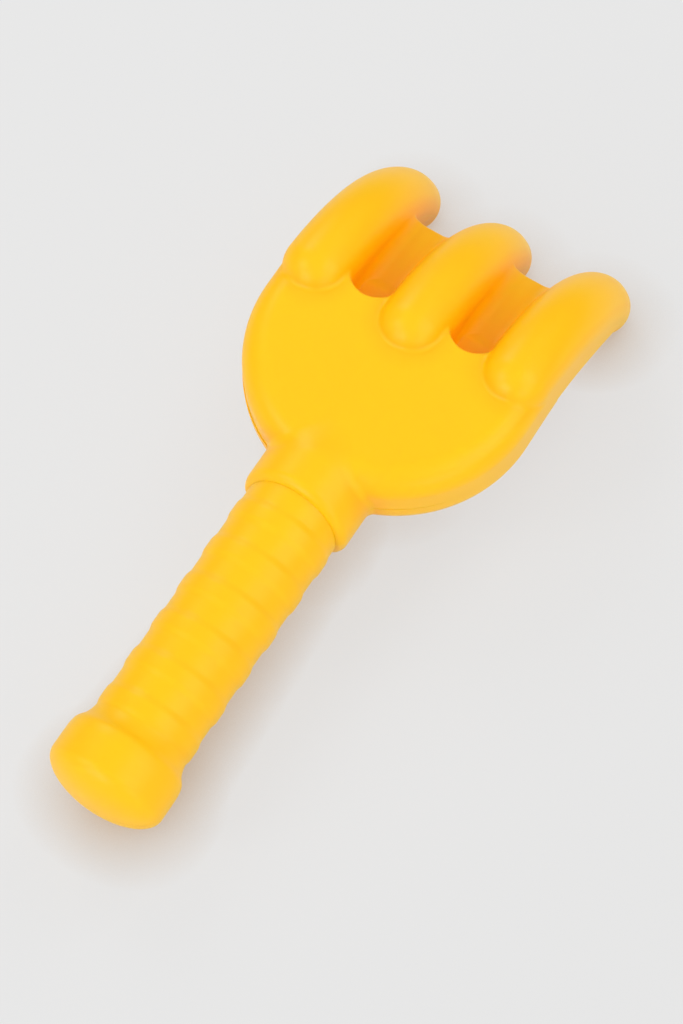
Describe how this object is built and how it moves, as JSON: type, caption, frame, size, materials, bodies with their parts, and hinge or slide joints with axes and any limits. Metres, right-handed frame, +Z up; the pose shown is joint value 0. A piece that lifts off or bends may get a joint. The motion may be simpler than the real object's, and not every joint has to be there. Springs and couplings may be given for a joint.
{
  "type": "sand rake",
  "caption": "Hand-held toy sand rake with a flat rounded palm, arched finger-like tines, a collar and a ribbed grip ending in a knob.",
  "frame": {"origin": "centre of the bounding box's bottom face, on the floor that the rake lies on", "axes": "+Y along the rake towards the tines, +Z up with the rake lying on its knob and tine tips, +X across"},
  "size_m": [0.084, 0.2125, 0.0494],
  "materials": {
    "head": "glossy, softly rounded",
    "grip": "glossy, ribbed"
  },
  "bodies": {
    "root": {"head_top": "head", "head_bottom": "head", "grip_top": "grip", "grip_bottom": "grip"}
  },
  "joints": []
}
